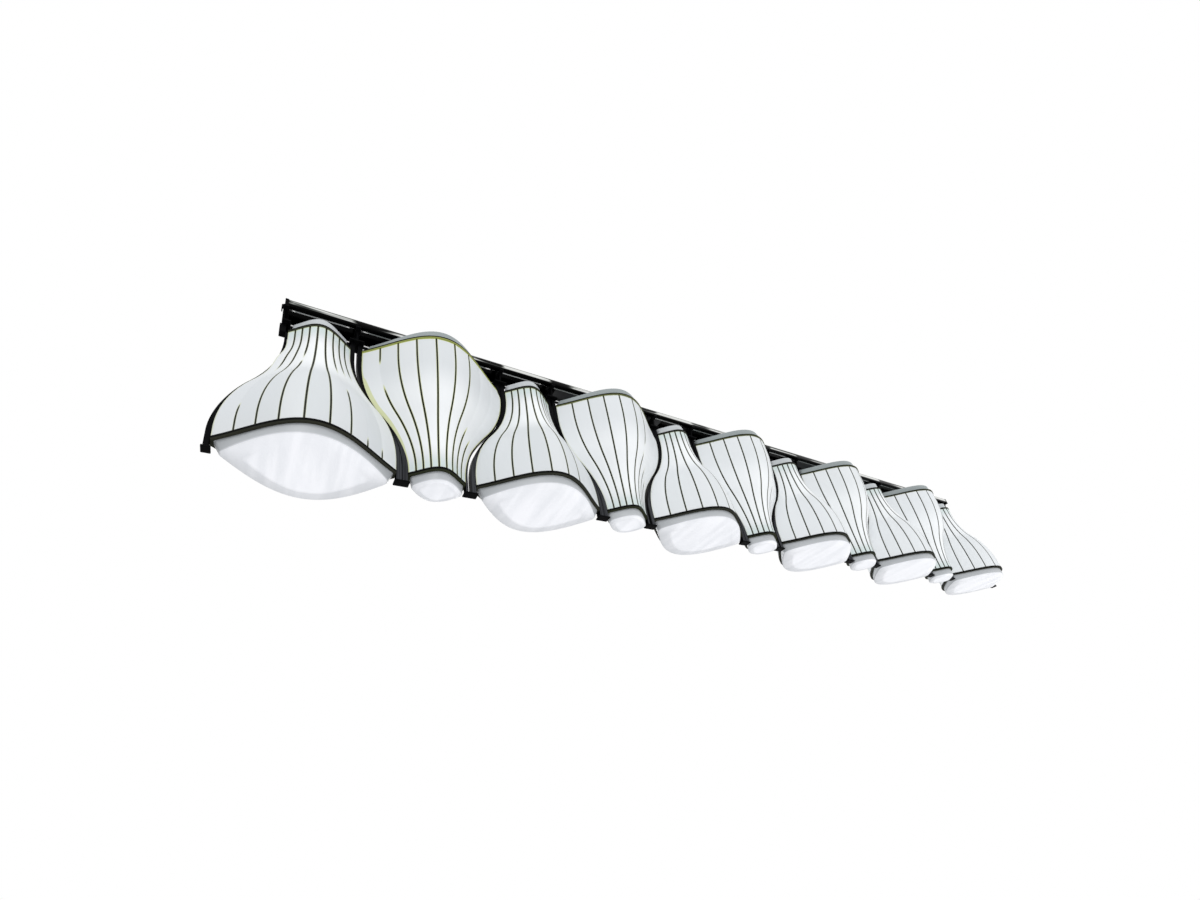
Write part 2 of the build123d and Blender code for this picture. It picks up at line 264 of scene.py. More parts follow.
def ease_in(value, start, end):
    """0 at the start and 1 at the end of a range, which may run down, with a soft S between."""
    t = np.clip((value - start) / (end - start), 0, 1)
    return t * t * (3 - 2 * t)


def ease_above(z, turn):
    """ease_in for a height z and a range given by two heights above the lower frame's top."""
    return ease_in(z, LOWER_TOP + turn[0], LOWER_TOP + turn[1])


def tint(i):
    """How strongly painted yellow light falls on shade i's rims and hems: most on the second, less along the
    row.
    """
    return 1 / (1 + abs(i - 1))


def hump(u, mix_share=FLANK_MIX):
    """Height of an end's curve over its tips, 0 to 1: a cosine mixed with its own square, u from -1 to 1."""
    wave = np.cos(np.pi / 2 * u)
    return (1 - mix_share) * wave + mix_share * wave**2


def seam_shares():
    """Where the seams stand along u: even steps of the wide edge's length."""
    u = np.linspace(-1, 1, 2001)
    run = np.hypot(np.diff(u) * WIDE_SPAN, np.diff(hump(u)) * (WIDE_DEPTH - TIP_DEPTH))
    length = np.concatenate(([0], np.cumsum(run)))
    return np.interp(np.linspace(0, length[-1], PLEATS + 1), length, u), length[-1] / PLEATS


SEAMS, PLEAT_WIDTH = seam_shares()


# Making meshes

def quads(rows, columns, round_rows=False, round_columns=False):
    """Quads of a grid of rows by columns, each direction open or closed on itself.

    They face outwards where the columns run anti-clockwise and the rows run up.
    """
    r = np.arange(rows if round_rows else rows - 1)[:, None]
    c = np.arange(columns if round_columns else columns - 1)[None, :]
    above = (r + 1) % rows
    beside = (c + 1) % columns
    corners = (r * columns + c, r * columns + beside, above * columns + beside, above * columns + c)
    return np.stack([corner.ravel() for corner in corners], axis=-1)


def sleeve(rings):
    """Rings of points carried one above another and closed with a flat cap at each end."""
    rows, columns = rings.shape[:2]
    faces = quads(rows, columns, round_columns=True).tolist()
    faces.append(list(range(columns))[::-1])
    faces.append(list(range((rows - 1) * columns, rows * columns)))
    return rings.reshape(-1, 3), faces


def make(name, parts, replaced, slot_name, material, **values):
    """One piece from its parts, each points and faces, with named values per point, in the place of nodes."""
    points = np.concatenate([part[0] for part in parts])
    starts = np.cumsum([0] + [len(part[0]) for part in parts]).tolist()
    faces = [[index + start for index in face] for part, start in zip(parts, starts) for face in part[1]]
    mesh = bpy.data.meshes.new(name)
    mesh.from_pydata(points.tolist(), [], faces)
    for key, value in values.items():
        column = mesh.attributes.new(key, "FLOAT", "POINT").data
        column.foreach_set("value", np.asarray(value, np.float32).ravel())
    weld = bmesh.new()
    weld.from_mesh(mesh)
    bmesh.ops.remove_doubles(weld, verts=weld.verts, dist=1e-6)
    weld.to_mesh(mesh)
    weld.free()
    mesh.shade_smooth()
    mesh.set_sharp_from_angle(angle=SHARP)
    mesh.materials.append(material)
    piece = bpy.data.objects.new(name, mesh)
    scene.collection.objects.link(piece)
    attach(piece, "root")
    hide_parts(*replaced)
    return piece


# Skins

# Stretches where seam k breaks off in the photograph, perhaps only washed out by its light, by shade, as
# shares of the way from the narrow to the wide end
BREAKS = {
    0: {1: (0.40, 0.80), 3: (0.30, 0.38), 6: (0.38, 0.62), 7: (0.34, 0.94), 8: (0.32, 0.93)},
    1: {1: (0.62, 0.86), 7: (0.38, 1.2), 8: (0.32, 1.2)},
}
LATER_BREAKS = {6: (0.50, 0.60), 7: (0.40, 1.2), 8: (0.32, 1.2)}
BREAK_FADES = (0.10, 0.06)   # how far a seam takes to thin out before a break and to come back after it


def seam_strength(i, k, h):
    """How strongly seam k of shade i shows at share h from the narrow to the wide end, less at its break."""
    breaks = BREAKS.get(i, LATER_BREAKS)
    if k not in breaks:
        return np.full_like(h, float(0 < k < PLEATS))
    start, end = breaks[k]
    return np.clip(np.maximum((start - h) / BREAK_FADES[0], (h - end) / BREAK_FADES[1]) + 0.5, 0, 1)


def side_laps(i, z, span):
    """How far the left and the right edge of shade i's skins reach over their side bars at height z.

    Most reach over the slim part by a sine's square of the climb, the outermost two only near the head. The
    right edge of an inverted shade covers most of its bar above the lowest quarter. The left edge of a bell
    has no lap.
    """
    climb = np.clip((z - LEAN_START) / (LEAN_END - LEAN_START), 0, 1)
    slim = SKIN_LAP * np.sin(np.pi * climb) ** 2
    late = SKIN_LAP * np.sin(np.pi * climb**3) ** 6
    if i in INVERTED:
        to_joint = joint_x(i + 1, z) - COVERED_SHORT - centre_x(i) - span
        head = ease_in(z, UPPER_TOP - HEAD_TURN, UPPER_TOP - FRAME_HEIGHT)
        return slim, to_joint * ease_in(climb, *COVERED_TURN) * (1 - HEAD_DRAW * head)
    left = late if i == 0 else np.zeros_like(z)
    right = late if i == SHADE_COUNT - 1 else slim
    return left, right


def skin(i, turn):
    """Skin of shade i: the front one with turn 1, and with turn -1 the same turned half round its axis.

    Levels z run in rows, and the pleat coordinate q runs in columns that crowd at the seams. X is u(q) times
    the half span, and its edges lap over the side bars. Y is the end curve's depth, scaled with the span and
    partly flattened between seams, less a groove on each seam. Each row goes out along the sheet's outer face
    and back along its inner one.
    """
    z = np.linspace(LOWER_TOP - SKIN_TUCK, UPPER_TOP - FRAME_HEIGHT + SKIN_TUCK, SKIN_ROWS)[:, None]
    span = half_span(i, z) - SKIN_SIDE_GAP
    scale = span / WIDE_SPAN
    near = SEAM_HALF / (PLEAT_WIDTH * scale)
    columns = [np.full_like(near, share) for share in PLEAT_COLUMNS]
    steps = np.concatenate([0 * near, near, *columns, 1 - near], axis=1)
    q = (np.arange(PLEATS)[None, :, None] + steps[:, None, :]).reshape(len(z), -1)
    q = np.concatenate([q, np.full((len(z), 1), float(PLEATS))], axis=1)
    u = np.interp(q, np.arange(PLEATS + 1), SEAMS)
    flat = np.interp(q, np.arange(PLEATS + 1), hump(SEAMS))
    on_seam = np.isclose(q, np.round(q)) & (q > 0.5) & (q < PLEATS - 0.5)
    rise = (1 - FACET) * hump(u) + FACET * flat
    depth = TIP_DEPTH - SKIN_SETBACK + (WIDE_DEPTH - TIP_DEPTH) * rise * scale
    depth = depth - SEAM_GROOVE * on_seam
    left_lap, right_lap = side_laps(i, z, span)
    lap = np.where(turn * u < 0, left_lap, right_lap) * np.abs(u) ** 3
    x = centre_x(i) + turn * (u * span + np.sign(u) * lap)
    level = np.broadcast_to(z, x.shape)
    outer = np.stack([x, -turn * depth, level], axis=-1)
    inner = np.stack([x, -turn * (depth - SKIN_DEPTH), level], axis=-1)
    share = (z - z[0]) / (z[-1] - z[0])
    h = 1 - share if i in BELLS else share
    seam = sum((on_seam & (np.round(q) == k)) * seam_strength(i, k, h) for k in range(1, PLEATS))
    from_side = (1 - np.abs(u)) * span
    wide_hem = WIDE_HEM * (WIDE_HEM_ENDS + (1 - WIDE_HEM_ENDS) * np.sin(np.pi * lean(z)))
    hem = np.where((turn * u < 0) & (i == 1), wide_hem, SIDE_HEM * tint(i))
    lit = ease_in(h, *GLOW_START) * ease_in(h, *GLOW_END[i % 2])
    pleat = np.clip(np.floor(q), 0, PLEATS - 1)
    # Values per point: the seams, and where the painted yellow light, glow and pleat shades go
    values = {
        "seam": seam,
        "side_hem_light": np.clip(HEM_FADE - from_side / hem, 0, 1),
        "top_hem_light": np.clip(1 - (z[-1] - level) / TOP_HEM, 0, 1),
        "tint": np.full_like(x, tint(i)),
        "glow": lit * np.cos(np.pi / 2 * GLOW_SPREAD * u),
        "pleat": 0.5 + 0.5 * np.sin(pleat * PLEAT_PHASE + i * SHADE_PHASE + turn),
        "height": np.broadcast_to(h, x.shape),
    }
    both = {key: np.concatenate([value, value[:, ::-1]], axis=1) for key, value in values.items()}
    return sleeve(np.concatenate([outer, inner[:, ::-1]], axis=1)), both


# Shade ends

def end_outline(span, inset, mix_share=FLANK_MIX):
    """Plan of an end, anti-clockwise from its left tip.

    X is u times the span, and Y is the hump over the tips, scaled with the span, less an inset.
    """
    u = np.sin(np.linspace(-np.pi / 2, np.pi / 2, END_POINTS))
    depth = TIP_DEPTH - inset + (WIDE_DEPTH - TIP_DEPTH) * hump(u, mix_share) * span / WIDE_SPAN
    front = np.stack([u * span, -depth], axis=1)
    return np.concatenate([front, -front])


def frame_plate(i, top):
    """A frame: an eased rectangle carried round the end's plan, from its edge to its light opening."""
    span = float(half_span(i, top))
    low = -FRAME_HEIGHT
    section = [(EASE, low), (0, low + EASE), (0, -EASE), (EASE, 0)]
    section += [(FRAME_WIDTH - a, b) for a, b in section[::-1]]
    rings = []
    for inset, drop in section:
        plan = end_outline(span - inset, inset)
        rings.append(np.column_stack([centre_x(i) + plan[:, 0], plan[:, 1], np.full(len(plan), top + drop)]))
    rings = np.array(rings)
    return rings.reshape(-1, 3), quads(*rings.shape[:2], round_rows=True, round_columns=True)


def dish_rings(i, top, draft, far_mix, section):
    """Rings of a dish, one for each (inset, share, z), share being 0 at its frame and 1 at its flat face.

    Each is the rim's plan with rounded ends. With its share it grows shorter by the draft and takes the far
    flanks.
    """
    span = float(half_span(i, top)) - END_CUT
    near, far = end_outline(span, RIM_SETBACK), end_outline(span, RIM_SETBACK, far_mix)
    past = np.clip(1 - (span - np.abs(near[:, 0])) / END_ROUND, 0, 1)
    ends = np.sqrt(1 - END_BLUNT * past**2)
    depth = near[:, 1].max()
    inset, share, z = np.array(section).T[:, :, None]
    x = near[:, 0] * (1 - draft * share / span) * (1 - inset / depth)
    y = (near[:, 1] + share * (far[:, 1] - near[:, 1])) * ends * (1 - inset / depth)
    return np.stack([centre_x(i) + x, y, np.broadcast_to(z, x.shape)], axis=-1)


def rounded(radius, z, turn):
    """Rounded corner of a dish as (inset, 1, z) points, from its flat face at height z to its wall."""
    angles = np.linspace(0, np.pi / 2, CORNER_POINTS)
    return [(radius * (1 - math.sin(a)), 1, z + turn * radius * (1 - math.cos(a))) for a in angles]


def lens(i):
    """Lower diffuser: a flat lens, a bevel, a rounded corner and a drafted rim, then the inner faces back.

    A flat border runs round the lens. Each outer ring's painted light goes from its front to its rear value
    along Y, with painted shade at the rear, and the inner faces have none.
    """
    rim_top = LOWER_TOP - FRAME_HEIGHT
    bevel, draft = (WIDE_BEVEL, WIDE_DRAFT) if i in BELLS else (NARROW_BEVEL, NARROW_DRAFT)
    foot = LENS_BOTTOM + BEVEL_DROP
    border = LENS_SHADE * bevel / WIDE_BEVEL
    outside = [(inset, 1, LENS_BOTTOM) for inset in (border, LENS_SHADE_EDGE * border, bevel)]
    outside += rounded(LENS_CORNER, foot, 1) + [(0, 0, rim_top)]
    inner_floor = LENS_BOTTOM + DISH_WALL
    inside = [(DISH_WALL, 0, rim_top), (DISH_WALL, 1, foot + DISH_WALL), (bevel, 1, inner_floor)]
    rings = dish_rings(i, LOWER_TOP, draft, LENS_MIX, outside + inside)
    rear = ease_in(rings[..., 1] / WIDE_DEPTH, *REAR_TURN)
    front_light, rear_light = (np.array(white + (0,) * 4)[:, None] for white in (FRONT_PAINTED_LIGHT, REAR_PAINTED_LIGHT))
    return sleeve(rings), front_light + rear * (rear_light - front_light)


def cover(i):
    """Upper diffuser: a shallow opal cover, from its inner ceiling down, under the rim and up to the top."""
    draft = NARROW_DRAFT if i in BELLS else WIDE_DRAFT
    ceiling = COVER_TOP - DISH_WALL
    inside = [(DISH_WALL + COVER_CORNER, 1, ceiling), (DISH_WALL, 1, ceiling - COVER_CORNER)]
    outside = [(DISH_WALL, 0, UPPER_TOP), (0, 0, UPPER_TOP)] + rounded(COVER_CORNER, COVER_TOP, -1)[::-1]
    rings = dish_rings(i, UPPER_TOP, draft, FLANK_MIX, inside + outside)
    # Painted light on a bell's cover, none on an inverted shade's, which shows its painted grey shade
    return sleeve(rings), np.full(rings.shape[:2], COVER_PAINTED_LIGHT if i in BELLS else 0)


# Bars and metal parts

def eased_rectangle(x0, x1, y0, y1, ease):
    """Rectangle with cut corners, anti-clockwise."""
    return np.array(
        [
            (x0 + ease, y0), (x1 - ease, y0), (x1, y0 + ease), (x1, y1 - ease),
            (x1 - ease, y1), (x0 + ease, y1), (x0, y1 - ease), (x0, y0 + ease),
        ]
    )


def side_bar(i, side):
    """Right bar of shade i with side 1, left bar with side -1, and its painted sheen.

    Up its height z it is an eased rectangle between the S of its gap side and the shifted S of its skin side.
    Two neighbours all but touch low down at an odd joint and high up at an even one, whose lower gap moves to
    the left. The row's two outermost bars grow slim upwards.
    """
    j = i + (side + 1) // 2
    lean_levels = np.linspace(LEAN_START - BAR_LAG, LEAN_END + BAR_LAG, BAR_ROWS)
    z = np.concatenate([[LOWER_TOP - BAR_FOOT], lean_levels, [UPPER_TOP + BAR_HEAD]])
    skin_side = joint_x(j, z - skin_shift(i)) - side * BAR_FAR
    outermost = j in (0, SHADE_COUNT)
    low_down = ease_above(z, GAP_TURN)
    closed = low_down if j % 2 else 1 - low_down
    near = BAR_NEAR + (BAR_CLOSED - BAR_NEAR) * closed
    sway = 0 if j % 2 or outermost else GAP_SWAY[side] * ease_above(z, SWAY_TURN)
    width = joint_x(j, z) - side * near - sway - skin_side
    if outermost:
        width *= 1 - ease_above(z, SLIM_TURN) * (1 - END_BAR_SHARE)
    edges = np.sort([skin_side, skin_side + width], axis=0)
    half = np.full_like(z, BAR_DEPTH / 2)
    plan = np.moveaxis(eased_rectangle(edges[0], edges[1], -half, half, EASE), 2, 0)
    rings = np.concatenate([plan, np.broadcast_to(z[:, None, None], plan.shape[:2] + (1,))], axis=2)
    # Painted sheen on the front and rear faces: strong low down, faint higher up, none on the outermost bars
    front_and_rear = np.array([1, 1, 0, 0, 1, 1, 0, 0])
    sheen = LEAST_SHEEN + (1 - LEAST_SHEEN) * ease_above(z, SHEEN_TURN)
    if outermost:
        sheen = np.zeros_like(z)
    return sleeve(rings), np.outer(sheen, front_and_rear)


def block(low, high, foot=1.0):
    """Block with eased edges between two corners, whose depth at the bottom is a share of that at the top."""
    z = [low[2], low[2] + EASE, high[2] - EASE, high[2]]
    rings = []
    for level, inset in zip(z, (EASE, 0, 0, EASE)):
        share = foot + (1 - foot) * (level - low[2]) / (high[2] - low[2])
        sides = (low[0] + inset, high[0] - inset, low[1] * share + inset, high[1] * share - inset)
        plan = eased_rectangle(*sides, EASE)
        rings.append(np.column_stack([plan, np.full(len(plan), level)]))
    return sleeve(np.array(rings))


def hanger(j):
    """Hanger at joint j: a strap under the rail, a tapered web and a pad.

    At the row's ends the strap and the pad stop at the web.
    """
    x = float(joint_x(j, UPPER_TOP))
    first, last = j == 0, j == SHADE_COUNT
    strap_x = x + (first - last) * (STRAP_WIDTH - WEB_THICKNESS) / 2
    strap_low = RAIL_BOTTOM - STRAP_THICKNESS
    pad_top = PAD_BOTTOM + PAD_THICKNESS
    left = -WEB_THICKNESS / 2 if first else -BAR_FAR - PAD_OVERHANG
    right = WEB_THICKNESS / 2 if last else BAR_FAR + PAD_OVERHANG
    strap = block(
        (strap_x - STRAP_WIDTH / 2, -RAIL_WIDTH / 2, strap_low),
        (strap_x + STRAP_WIDTH / 2, RAIL_WIDTH / 2, RAIL_BOTTOM),
    )
    web = block(
        (x - WEB_THICKNESS / 2, -WEB_TOP_DEPTH / 2, pad_top),
        (x + WEB_THICKNESS / 2, WEB_TOP_DEPTH / 2, strap_low),
        foot=WEB_FOOT_DEPTH / WEB_TOP_DEPTH,
    )
    pad = block((x + left, -PAD_DEPTH / 2, PAD_BOTTOM), (x + right, PAD_DEPTH / 2, pad_top))
    return [strap, web, pad]


def foot(j):
    """Foot at joint j: a small plate under the bars of two neighbours."""
    x = float(joint_x(j, LOWER_TOP))
    left = 0 if j == 0 else -BAR_FAR - PAD_OVERHANG
    right = 0 if j == SHADE_COUNT else BAR_FAR + PAD_OVERHANG
    half = BAR_DEPTH / 2 + FOOT_OVERHANG
    return block((x + left, -half, FOOT_BOTTOM), (x + right, half, FOOT_TOP))


def end_head(j):
    """Block at the head of an outermost bar, under its hanger's pad."""
    x = float(joint_x(j, UPPER_TOP))
    outward = -1 if j == 0 else 1
    left, right = sorted((x + outward * END_HEAD_REACH, x - outward * BAR_FAR))
    low, high = UPPER_TOP - FRAME_HEIGHT, UPPER_TOP + BAR_HEAD
    return block((left, -BAR_DEPTH / 2, low), (right, BAR_DEPTH / 2, high))


def hexagon_head(x, low, high):
    """Hexagon bolt head with a chamfered top."""
    turn = np.radians(30 + 60 * np.arange(6))
    plan = np.stack([np.cos(turn), np.sin(turn)], axis=1) * BOLT_FLATS / 2 / math.cos(math.pi / 6)
    shoulder = low + BOLT_SHOULDER * (high - low)
    rings = [
        np.column_stack([plan * share + (x, 0), np.full(6, z)])
        for share, z in ((1, low), (1, shoulder), (1 - BOLT_CHAMFER, high))
    ]
    return sleeve(np.array(rings))


def rail():
    """The rail: its sheet's centre line, with rounded corners, thickened both ways and carried along X.

    Its outer sides take the painted reflections, and a painted highlight runs along the lips.
    """
    bend = RAIL_CORNER
    half = RAIL_WALL / 2
    side, top, low = RAIL_WIDTH / 2 - half - bend, -half - bend, RAIL_BOTTOM + half + bend
    angles = np.radians(np.linspace(-90, 270, 24).reshape(4, 6))
    middles = np.array([(side, low), (side, top), (-side, top), (-side, low)])
    outward = np.stack([np.cos(angles), np.sin(angles)], axis=-1)
    line = (middles[:, None, :] + bend * outward).reshape(-1, 2)
    outward = outward.reshape(-1, 2)
    lip_end = RAIL_WIDTH / 2 - RAIL_LIP
    lip = np.array([(lip_end + share * LIP_HIGHLIGHT, low - bend) for share in (0, 1, LIP_HIGHLIGHT_EDGE)])
    down = np.array([(0.0, -1.0)] * len(lip))
    line = np.concatenate([lip, line, lip[::-1] * (-1, 1)])
    outward = np.concatenate([down, outward, down])
    profile = np.concatenate([line + half * outward, (line - half * outward)[::-1]])
    start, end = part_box("top_rail")[0][0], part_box("top_rail")[1][0]
    x = np.linspace(start, end, 2)
    rings = np.stack([np.column_stack([np.full(len(profile), a), profile]) for a in x])
    count = len(line)
    polish = np.concatenate([np.abs(outward[:, 0]) > 0.5, np.zeros(count, bool)]).astype(float)
    rim = np.zeros(2 * count)
    rim[[0, 1, count - 2, count - 1, count, 2 * count - 1]] = 1
    return sleeve(rings), np.tile(polish, 2), np.tile(rim, 2)


# Materials

def put(tree, kind, inputs=None, **settings):
    """A node with its settings. An input is a value or another node's output."""
    node = tree.nodes.new(kind)
    for key, value in settings.items():
        setattr(node, key, value)
    for key, value in (inputs or {}).items():
        if isinstance(value, bpy.types.NodeSocket):
            tree.links.new(value, node.inputs[key])
        else:
            node.inputs[key].default_value = value
    return node


def calculate(tree, operation, first, second):
    """Result of a math node on two values or outputs."""
    return put(tree, "ShaderNodeMath", {0: first, 1: second}, operation=operation).outputs["Value"]


def mix(tree, share, first, second):
    """Colour between two, by a share."""
    node = put(tree, "ShaderNodeMix", data_type="RGBA")
    for index, value in ((0, share), (6, first), (7, second)):
        if isinstance(value, bpy.types.NodeSocket):
            tree.links.new(value, node.inputs[index])
        else:
            node.inputs[index].default_value = value
    return node.outputs[2]


def between(tree, value, low, high, first=0.0, second=1.0, smooth=False):
    """Value carried from the range low to high to the range first to second."""
    kind = "SMOOTHSTEP" if smooth else "LINEAR"
    inputs = {"Value": value, "From Min": low, "From Max": high, "To Min": first, "To Max": second}
    return put(tree, "ShaderNodeMapRange", inputs, interpolation_type=kind).outputs["Result"]


def attribute(tree, name):
    """A mesh's value per point, by its name."""
    return put(tree, "ShaderNodeAttribute", attribute_name=name).outputs["Fac"]


def object_place(tree):
    """Object coordinates, which are the world's too."""
    return put(tree, "ShaderNodeTexCoord").outputs["Object"]


def along(tree, axis):
    """One of the object coordinates."""
    return put(tree, "ShaderNodeSeparateXYZ", {"Vector": object_place(tree)}).outputs[axis]


def stretched_noise(tree, scale, detail, distortion=0.0):
    """Smooth noise with its own scale along each axis."""
    place = put(tree, "ShaderNodeMapping", {"Vector": object_place(tree), "Scale": scale}).outputs["Vector"]
    inputs = {"Vector": place, "Scale": 1.0, "Detail": detail, "Distortion": distortion}
    return put(tree, "ShaderNodeTexNoise", inputs).outputs["Fac"]


def new_material(name, **sockets):
    """A material with a Principled shader, its plain values set on the shader itself."""
    material = bpy.data.materials.new(name)
    material.use_nodes = True
    shader = material.node_tree.nodes["Principled BSDF"]
    for socket, value in sockets.items():
        shader.inputs[socket.replace("_", " ")].default_value = value
    return material, material.node_tree, shader


def grain_group():
    """Fine unevenness of a coat or a moulding: a height, broad patches and a roughness that follows them."""
    group = bpy.data.node_groups.new("surface_grain", "ShaderNodeTree")
    for name, kind, direction in (
        ("Scale", "NodeSocketFloat", "INPUT"),
        ("Stretch", "NodeSocketVector", "INPUT"),
        ("Roughness", "NodeSocketFloat", "INPUT"),
        ("Spread", "NodeSocketFloat", "INPUT"),
        ("Roughness", "NodeSocketFloat", "OUTPUT"),
        ("Height", "NodeSocketFloat", "OUTPUT"),
        ("Patch", "NodeSocketFloat", "OUTPUT"),
    ):
        group.interface.new_socket(name=name, in_out=direction, socket_type=kind)
    inside = put(group, "NodeGroupInput").outputs
    place = object_place(group)
    stretched = put(group, "ShaderNodeVectorMath", {0: place, 1: inside["Stretch"]}, operation="MULTIPLY")
    fine_inputs = {"Vector": stretched.outputs["Vector"], "Scale": inside["Scale"], "Detail": 3.0}
    fine = put(group, "ShaderNodeTexNoise", fine_inputs).outputs["Fac"]
    broad = put(group, "ShaderNodeTexNoise", {"Vector": place, "Scale": 9.0, "Detail": 2.0}).outputs["Fac"]
    spread = calculate(group, "MULTIPLY", calculate(group, "SUBTRACT", broad, 0.5), inside["Spread"])
    rough = calculate(group, "ADD", inside["Roughness"], spread)
    put(group, "NodeGroupOutput", {"Roughness": rough, "Height": fine, "Patch": broad})
    return group


GRAIN = grain_group()
GRAIN_HEIGHT = 0.0002

# Colours used more than once
# Painted yellow light on hems and seam fringes
PAINTED_YELLOW_LIGHT = (0.62, 0.65, 0.35, 1)
NO_LIGHT = (0, 0, 0, 1)
# Painted dark reflection on the rail
PAINTED_DARK_REFLECTION = (0.004, 0.004, 0.004, 1)


def grained(tree, shader, scale, roughness, spread=0.12, strength=0.1, stretch=(1, 1, 1)):
    """Gives a shader its grain, and returns the grain's broad patches."""
    values = {"Scale": scale, "Stretch": stretch, "Roughness": roughness, "Spread": spread}
    grain = put(tree, "ShaderNodeGroup", values, node_tree=GRAIN).outputs
    relief = {"Height": grain["Height"], "Strength": strength, "Distance": GRAIN_HEIGHT}
    bump = put(tree, "ShaderNodeBump", relief)
    tree.links.new(grain["Roughness"], shader.inputs["Roughness"])
    tree.links.new(bump.outputs["Normal"], shader.inputs["Normal"])
    return grain["Patch"]


def skin_material():
    """Pleated sheet: pale pleats, black seams, and painted light: yellow on seam fringes and hems, a lit
    middle.

    Each pleat has a painted shade of its own. The pleats are painted paler far along the row, where the
    yellow light is faint, and a greenish painted shade lies at the narrow end.
    """
    material, tree, shader = new_material("pleated_skin", Specular_IOR_Level=0.12, Emission_Strength=1.0)
    patch = grained(tree, shader, 700, 0.45, 0.10, 0.04)
    # Painted shade that differs from pleat to pleat
    body = mix(tree, attribute(tree, "pleat"), (0.69, 0.72, 0.73, 1), (0.75, 0.775, 0.785, 1))
    body = mix(tree, between(tree, patch, 0.3, 0.7, 0, 0.3), body, (0.72, 0.75, 0.80, 1))
    light_share = attribute(tree, "tint")
    # Painted light: the pleats grow paler where the yellow light share is small, far along the row
    body = mix(tree, between(tree, light_share, 0.5, 0.12, 0, 0.55), body, (0.86, 0.885, 0.90, 1))
    glow = attribute(tree, "glow")
    # Painted light in the middle, and a painted greenish shade at the narrow end
    body = mix(tree, glow, body, (0.84, 0.86, 0.87, 1))
    height = attribute(tree, "height")
    body = mix(tree, between(tree, height, 0.02, 0.12, 0.45, 0, True), body, (0.55, 0.70, 0.66, 1))
    seam = attribute(tree, "seam")
    # Painted yellow light on the seams' fringes and on the hems, then the black seams
    fringe = between(tree, seam, 0.06, 0.30)
    colour = mix(tree, calculate(tree, "MULTIPLY", fringe, light_share), body, PAINTED_YELLOW_LIGHT)
    side_hem_light = between(tree, attribute(tree, "side_hem_light"), 0.28, 0.36, 0, 0.9)
    colour = mix(tree, calculate(tree, "MULTIPLY", side_hem_light, light_share), colour, PAINTED_YELLOW_LIGHT)
    top_hem_light = between(tree, attribute(tree, "top_hem_light"), 0.35, 0.5)
    colour = mix(tree, calculate(tree, "MULTIPLY", top_hem_light, light_share), colour, (0.50, 0.55, 0.16, 1))
    colour = mix(tree, between(tree, seam, 0.36, 0.46), colour, (0.010, 0.011, 0.005, 1))
    tree.links.new(colour, shader.inputs["Base Color"])
    # A weak painted glow in the middle, none on the seams
    light = mix(tree, glow, NO_LIGHT, (0.09, 0.09, 0.09, 1))
    light = mix(tree, between(tree, seam, 0.05, 0.35), light, NO_LIGHT)
    tree.links.new(light, shader.inputs["Emission Color"])
    return material


def frame_material(name, lower_lit_colour, upper_lit_colour):
    """Black coated plate whose lowest part is painted as if lit by the lamp: black above, tinted below."""
    material, tree, shader = new_material(name, Specular_IOR_Level=0.02)
    patch = grained(tree, shader, 900, 0.45)
    z = along(tree, "Z")
    lower, upper = (
        between(tree, z, *(top - depth * FRAME_HEIGHT for depth in lit), 1, 0)
        for top, lit in ((LOWER_TOP, LOWER_LIT), (UPPER_TOP, UPPER_LIT))
    )
    high = calculate(tree, "GREATER_THAN", z, (LOWER_TOP + UPPER_TOP) / 2)
    black = mix(tree, patch, (0.002, 0.002, 0.002, 1), (0.005, 0.005, 0.0045, 1))
    low_colour = mix(tree, lower, black, lower_lit_colour)
    upper_painted_light = mix(tree, attribute(tree, "tint"), (0.03, 0.032, 0.026, 1), upper_lit_colour)
    high_colour = mix(tree, upper, black, upper_painted_light)
    colour = mix(tree, high, low_colour, high_colour)
    tree.links.new(colour, shader.inputs["Base Color"])
    return material


def coating_material():
    """Satin black coating with a fine orange peel, and a painted sheen in fine pale upright stripes where
    given.
    """
    material, tree, shader = new_material("black_coating", Specular_IOR_Level=0.02)
    patch = grained(tree, shader, 1100, 0.42, 0.16, 0.10)
    stripe = between(tree, stretched_noise(tree, (900, 300, 6), 1.0), 0.4, 0.6)
    # Colours of the painted sheen
    grey = mix(tree, stripe, (0.022, 0.023, 0.026, 1), (0.055, 0.057, 0.062, 1))
    colour = mix(tree, patch, (0.001, 0.001, 0.0012, 1), (0.004, 0.004, 0.0045, 1))
    colour = mix(tree, attribute(tree, "sheen"), colour, grey)
    tree.links.new(colour, shader.inputs["Base Color"])
    return material


def opal_material():
    """Opal acrylic with painted shade and glow: a grey rim, darker on the covers, a paler bevel, a bright
    streaky lens.
    """
    material, tree, shader = new_material("opal_diffuser", Specular_IOR_Level=0.3, Emission_Strength=1.0)
    patch = between(tree, grained(tree, shader, 500, 0.40, 0.08, 0.03), 0.35, 0.65, 0, 0.5)
    streak = between(tree, stretched_noise(tree, (60, 7, 1), 2.0), 0.4, 0.62)
    white = attribute(tree, "white")
    # Painted shade: the rim's grey, darker on the covers
    wall = mix(tree, patch, (0.42, 0.44, 0.455, 1), (0.47, 0.49, 0.505, 1))
    on_cover = between(tree, along(tree, "Z"), UPPER_TOP - FRAME_HEIGHT, UPPER_TOP, 0, 0.8)
    wall = mix(tree, on_cover, wall, (0.28, 0.32, 0.32, 1))
    colour = mix(tree, white, wall, (0.88, 0.89, 0.92, 1))
    tree.links.new(colour, shader.inputs["Base Color"])
    # Painted glow of the lens, with faint streaks
    lit = mix(tree, streak, (0.17, 0.175, 0.185, 1), (0.26, 0.26, 0.27, 1))
    tree.links.new(mix(tree, white, NO_LIGHT, lit), shader.inputs["Emission Color"])
    return material


